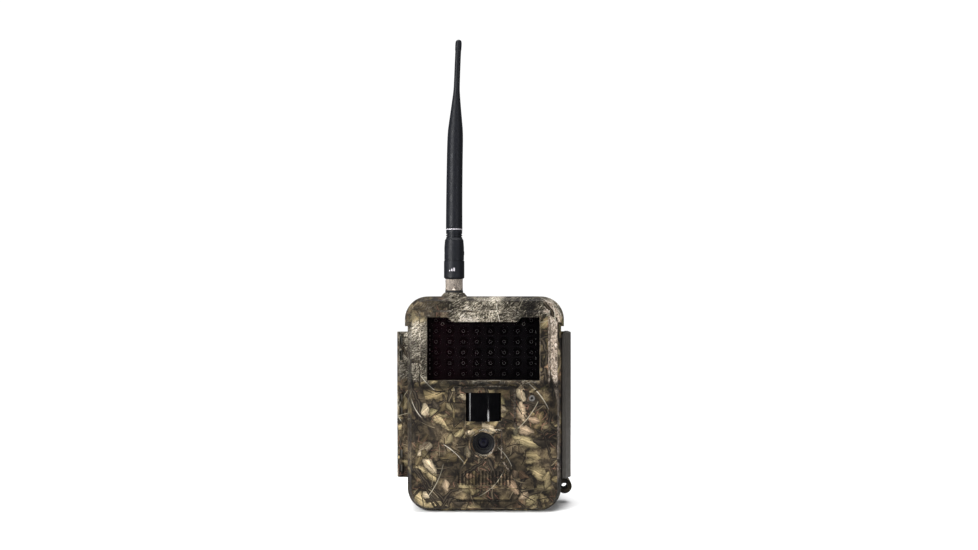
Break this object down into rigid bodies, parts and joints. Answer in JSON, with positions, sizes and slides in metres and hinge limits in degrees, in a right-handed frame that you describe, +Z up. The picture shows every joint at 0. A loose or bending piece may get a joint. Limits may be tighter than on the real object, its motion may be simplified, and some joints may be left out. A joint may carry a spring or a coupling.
{
  "type": "trail camera",
  "caption": "Trail camera in a camouflage housing with a side-hinged cover, infrared LED window, motion sensor, lens, side latch and folding whip antenna.",
  "frame": {"origin": "mouth of the tripod insert in the bottom face of the rear case", "axes": "+X to the right of a person facing the lens, -Y towards that person (lens side), +Z up along the antenna"},
  "size_m": [0.1187, 0.0753, 0.3094],
  "materials": {
    "camo_shell": "moulded housing with an all-over woodland print",
    "latch_plastic": "fine-textured dark brown-grey moulding",
    "seal_rubber": "soft black seal",
    "steel_pin": "dark plain steel",
    "led_window_plastic": "dark infrared-pass plastic",
    "pcb_green": "solder-masked circuit board",
    "led_epoxy": "dark tinted epoxy",
    "pir_plastic": "smooth black lens film",
    "sensor_metal": "plated can",
    "black_plastic": "black moulded plastic",
    "lens_coated": "coated glass",
    "bright_metal": "nickel-plated metal",
    "nickel": "warm nickel plate with fine turning marks",
    "brass_plain": "turned brass",
    "gold_contact": "gold-plated contact",
    "panel_plastic": "fine-textured dark grey panel",
    "display_glass": "display behind clear plastic",
    "button_rubber": "grey silicone keys",
    "tray_plastic": "black battery tray",
    "cell_jacket": "plain printed cell jacket",
    "card_plastic": "memory card",
    "sim_plastic": "SIM card",
    "antenna_plastic": "satin black moulded antenna",
    "antenna_band": "pale ring",
    "status_clear": "pale ring round the status light",
    "cable_jacket": "thin coaxial cable"
  },
  "bodies": {
    "rear_case": {"rear_case": "camo_shell", "case_gasket": "seal_rubber", "hinge_pin": "steel_pin", "latch_pin": "steel_pin", "battery_tray": "tray_plastic", "power_pins": "gold_contact", "batteries_lower": "cell_jacket", "batteries_upper": "cell_jacket", "battery_springs": "bright_metal", "battery_plates": "bright_metal", "dc_jack": "black_plastic", "tripod_insert": "brass_plain"},
    "front_cover": {"front_cover": "camo_shell", "led_window": "led_window_plastic", "led_board": "pcb_green", "led_spacers": "bright_metal", "led_board_screws": "bright_metal", "led_array": "led_epoxy", "pir_lens": "pir_plastic", "pir_sensor": "sensor_metal", "lens_ring": "camo_shell", "lens_barrel": "black_plastic", "lens_glass": "lens_coated", "ir_cut_filter": "lens_coated", "sensor_board": "pcb_green", "microphone": "sensor_metal", "status_ring": "status_clear", "status_led": "status_clear", "main_board": "pcb_green", "board_screws": "bright_metal", "modem_module": "bright_metal", "display": "display_glass", "control_panel": "panel_plastic", "contact_pads": "gold_contact", "panel_screws": "steel_pin", "sd_socket": "bright_metal", "sim_socket": "bright_metal", "usb_port": "bright_metal", "antenna_connector": "brass_plain", "connector_washer": "seal_rubber", "antenna_pigtail": "cable_jacket"},
    "latch_bar": {"latch_bar": "latch_plastic"},
    "mode_switch": {"mode_switch": "black_plastic"},
    "sd_card": {"sd_card": "card_plastic"},
    "sim_card": {"sim_card": "sim_plastic"},
    "dc_plug": {"dc_plug": "seal_rubber"},
    "antenna_nut": {"antenna_nut": "nickel"},
    "antenna_base": {"antenna_base": "antenna_plastic"},
    "antenna": {"antenna_knuckle": "antenna_plastic", "antenna_pivot_pin": "antenna_plastic", "antenna_ring": "antenna_band", "antenna_sleeve": "antenna_plastic", "antenna_tip": "antenna_plastic"},
    "button_up": {"button_up": "button_rubber"},
    "button_down": {"button_down": "button_rubber"},
    "button_left": {"button_left": "button_rubber"},
    "button_right": {"button_right": "button_rubber"},
    "button_ok": {"button_ok": "button_rubber"}
  },
  "joints": [
    {"name": "cover_hinge", "type": "hinge", "parent": "rear_case", "child": "front_cover", "pos_m": [-0.0566, -0.014, 0.0666], "axis": [0, 0, -1], "range_deg": [0, 120]},
    {"name": "latch_hinge", "type": "hinge", "parent": "rear_case", "child": "latch_bar", "pos_m": [0.054, -0.004, 0.0683], "axis": [0, 0, 1], "range_deg": [0, 100]},
    {"name": "antenna_nut_turn", "type": "hinge", "parent": "front_cover", "child": "antenna_nut", "pos_m": [-0.02, -0.034, 0.1477], "axis": [0, 0, 1], "continuous": true},
    {"name": "antenna_swivel", "type": "hinge", "parent": "front_cover", "child": "antenna_base", "pos_m": [-0.02, -0.034, 0.1576], "axis": [0, 0, 1], "continuous": true},
    {"name": "antenna_fold", "type": "hinge", "parent": "antenna_base", "child": "antenna", "pos_m": [-0.02, -0.034, 0.1685], "axis": [-1, 0, 0], "range_deg": [0, 90]},
    {"name": "mode_switch_slide", "type": "slide", "parent": "front_cover", "child": "mode_switch", "axis": [1, 0, 0], "range_m": [-0.007, 0.007]},
    {"name": "sd_card_slide", "type": "slide", "parent": "front_cover", "child": "sd_card", "axis": [0, 0, 1], "range_m": [0, 0.006]},
    {"name": "sim_card_slide", "type": "slide", "parent": "front_cover", "child": "sim_card", "axis": [0, 0, 1], "range_m": [0, 0.0045]},
    {"name": "dc_plug_pull", "type": "slide", "parent": "rear_case", "child": "dc_plug", "axis": [0, 0, -1], "range_m": [0, 0.006]},
    {"name": "button_up_press", "type": "slide", "parent": "front_cover", "child": "button_up", "axis": [0, -1, 0], "range_m": [0, 0.0006], "stiffness_N_per_m": 1500, "springref_m": -0.0003},
    {"name": "button_down_press", "type": "slide", "parent": "front_cover", "child": "button_down", "axis": [0, -1, 0], "range_m": [0, 0.0006], "stiffness_N_per_m": 1500, "springref_m": -0.0003},
    {"name": "button_left_press", "type": "slide", "parent": "front_cover", "child": "button_left", "axis": [0, -1, 0], "range_m": [0, 0.0006], "stiffness_N_per_m": 1500, "springref_m": -0.0003},
    {"name": "button_right_press", "type": "slide", "parent": "front_cover", "child": "button_right", "axis": [0, -1, 0], "range_m": [0, 0.0006], "stiffness_N_per_m": 1500, "springref_m": -0.0003},
    {"name": "button_ok_press", "type": "slide", "parent": "front_cover", "child": "button_ok", "axis": [0, -1, 0], "range_m": [0, 0.0006], "stiffness_N_per_m": 1500, "springref_m": -0.0003}
  ]
}
